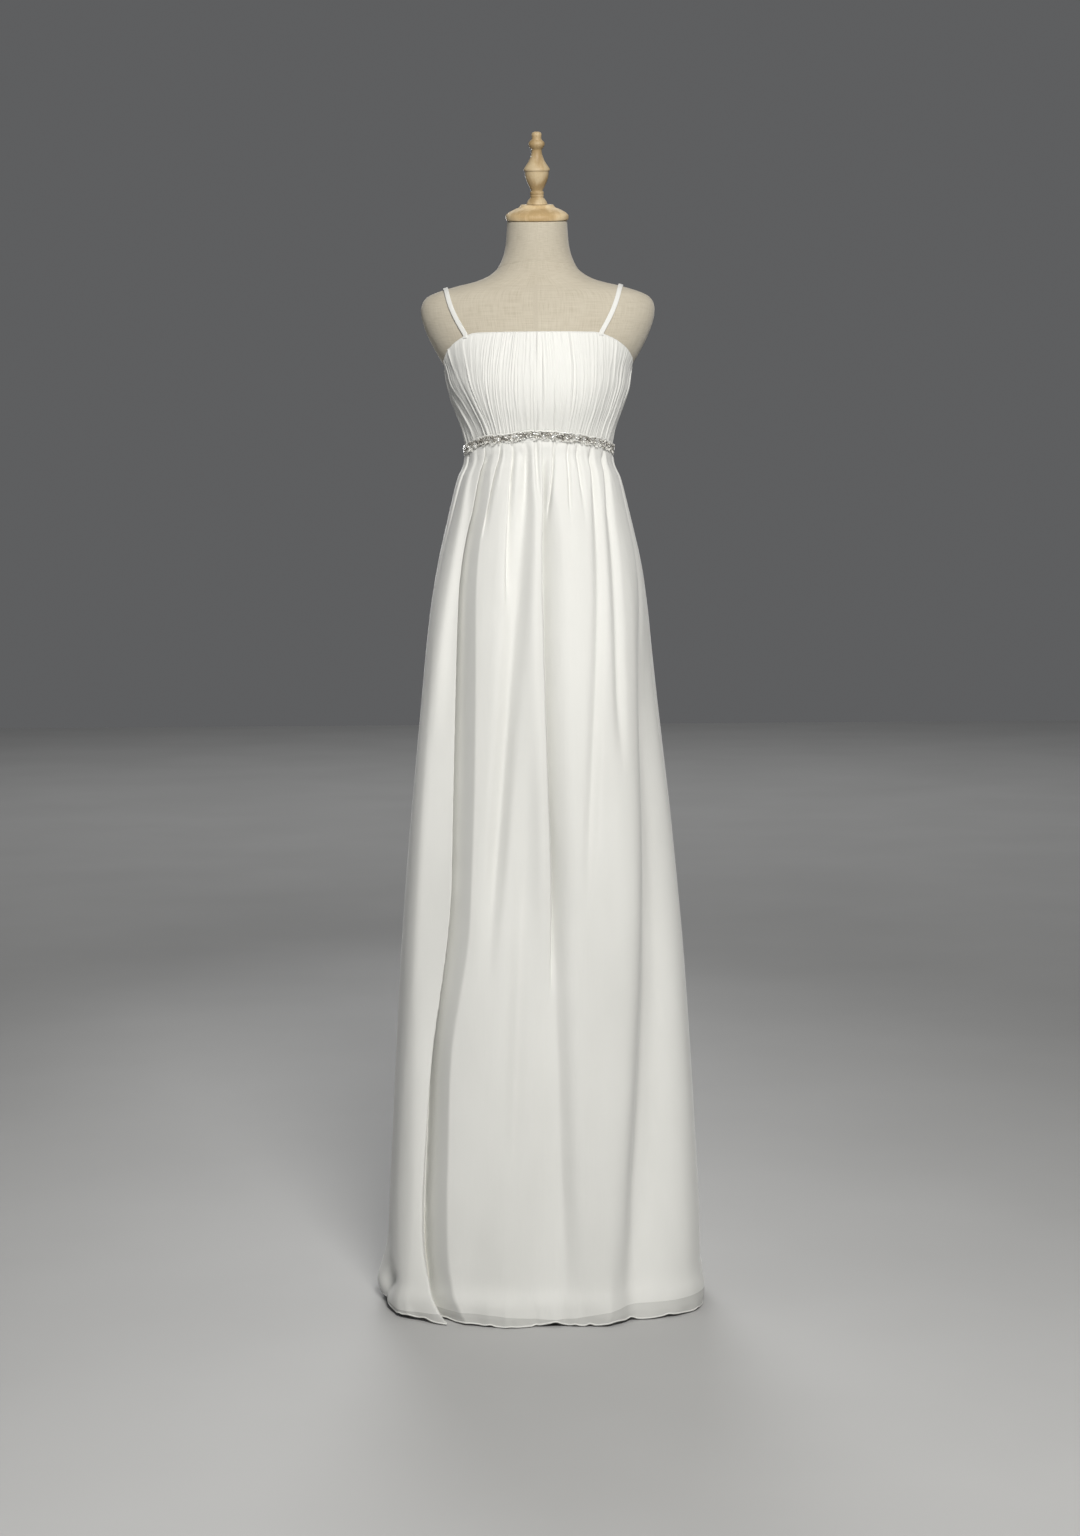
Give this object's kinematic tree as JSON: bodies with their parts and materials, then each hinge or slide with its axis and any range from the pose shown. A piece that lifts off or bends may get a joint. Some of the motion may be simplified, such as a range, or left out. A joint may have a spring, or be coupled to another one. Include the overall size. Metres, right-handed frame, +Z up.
{
  "type": "wedding dress on a dress form",
  "caption": "Floor-length empire-line wedding dress with thin straps, crinkle-pleated bodice, beaded underbust trim and gathered skirt, on a limbless linen dress form.",
  "frame": {"origin": "on the floor, under the middle of the dress's outline in plan", "axes": "+Z up along the stand's pole; the dress faces -Y; +X is the right hand of someone looking at its front"},
  "size_m": [0.5334, 0.3858, 1.8638],
  "materials": {
    "chiffon": "matt ivory chiffon with a fine crepe grain",
    "lining": "smooth ivory lining with a soft sheen",
    "beading": "clear and silver-grey faceted beads on an ivory strip",
    "linen": "natural woven linen stretched over the form",
    "beech": "satin varnished turned beech",
    "stand_steel": "black powder coat"
  },
  "bodies": {
    "root": {"bodice_front": "chiffon", "bodice_back_left": "chiffon", "bodice_back_right": "chiffon", "strap_left": "chiffon", "strap_right": "chiffon", "waist_trim": "beading", "skirt_front": "chiffon", "skirt_back_left": "chiffon", "skirt_back_right": "chiffon", "lining_front": "lining", "lining_back": "lining", "form_torso": "linen", "neck_cap": "beech", "cap_finial": "beech", "stand_pole": "stand_steel", "stand_base": "stand_steel"}
  },
  "joints": []
}
